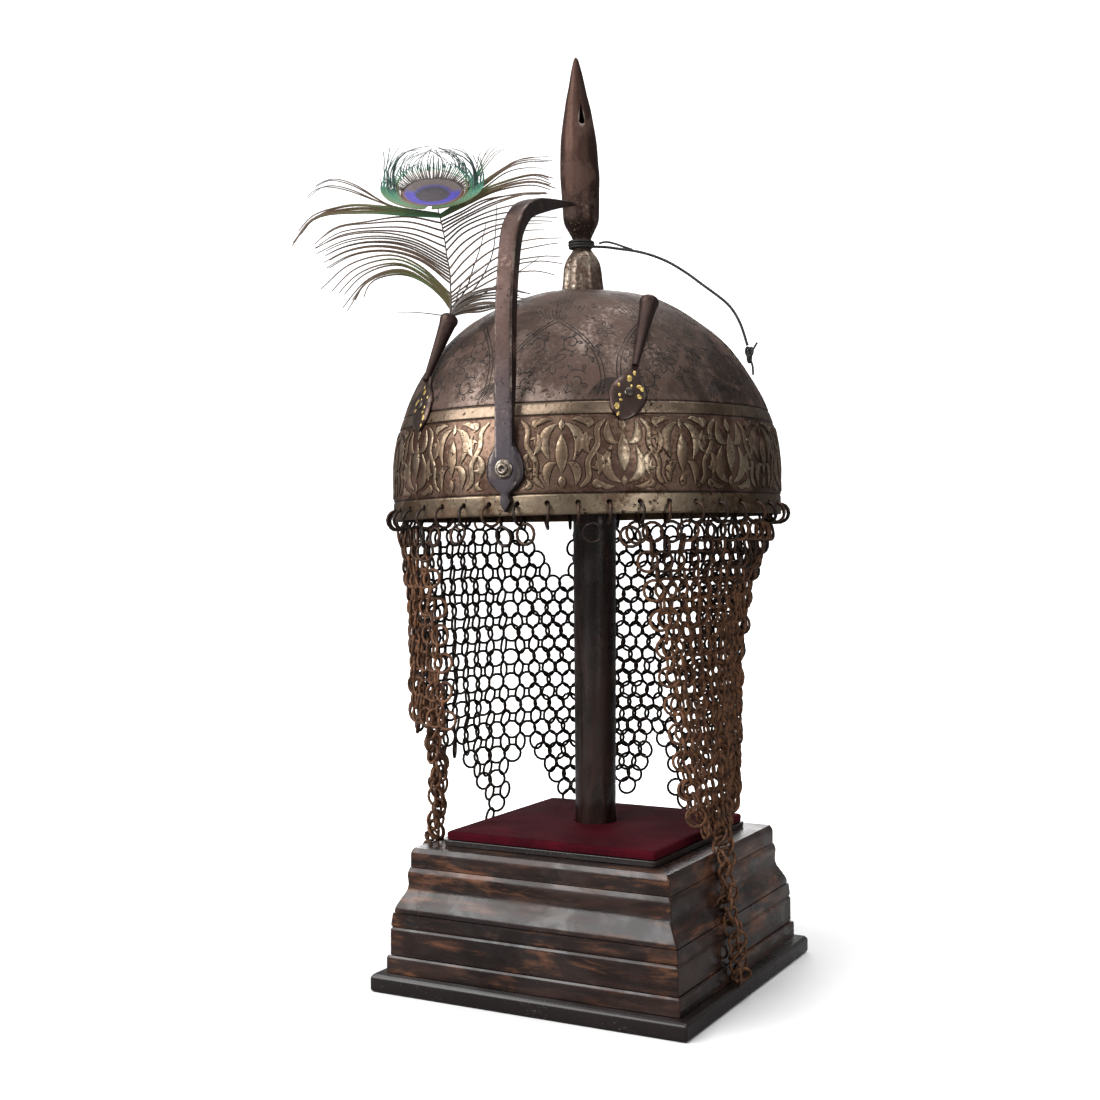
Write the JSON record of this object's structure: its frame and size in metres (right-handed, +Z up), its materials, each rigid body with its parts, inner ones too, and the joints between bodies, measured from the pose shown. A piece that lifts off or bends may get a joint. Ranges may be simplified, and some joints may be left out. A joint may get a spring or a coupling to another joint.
{
  "type": "kulah khud helmet on a display stand",
  "caption": "Domed steel helmet with top spike, bowed nasal bar, plume sockets, dagged mail curtain and a peacock feather, held on a stepped wooden stand.",
  "frame": {"origin": "middle of the stand's underside, where it rests on a table", "axes": "+Z up along the stand and the helmet, -Y out of the helmet's front, +X to the left of someone who wears it"},
  "size_m": [0.2261, 0.2093, 0.4743],
  "materials": {
    "lacquer": "glossy black lacquer on wood",
    "walnut": "dark walnut stain under gloss varnish",
    "velvet": "maroon velvet pile",
    "engraved_steel": "engraved steel with brown patina",
    "rusted_iron": "red-brown pitted iron",
    "forged_iron": "brown forged iron",
    "worn_steel": "worn steel",
    "mail_iron": "rusty mail wire",
    "waxed_cord": "black waxed cord",
    "feather": "iridescent peacock barbs"
  },
  "bodies": {
    "root": {"base_plate": "lacquer", "plinth_foot": "walnut", "plinth_board": "walnut", "plinth_ogee": "walnut", "plinth_cap": "walnut", "pad_board": "lacquer", "velvet_pad": "velvet", "post": "walnut", "skull": "engraved_steel", "finial_base": "engraved_steel", "spike": "rusted_iron", "nasal_bar": "forged_iron", "nasal_bolt": "worn_steel", "plume_socket_left": "forged_iron", "plume_socket_right": "forged_iron", "socket_rivet_left": "worn_steel", "socket_rivet_right": "worn_steel", "mail_aventail": "mail_iron", "mail_front_row": "mail_iron", "cord_wrap": "waxed_cord", "cord": "waxed_cord", "cord_knot": "waxed_cord", "feather": "feather"}
  },
  "joints": []
}
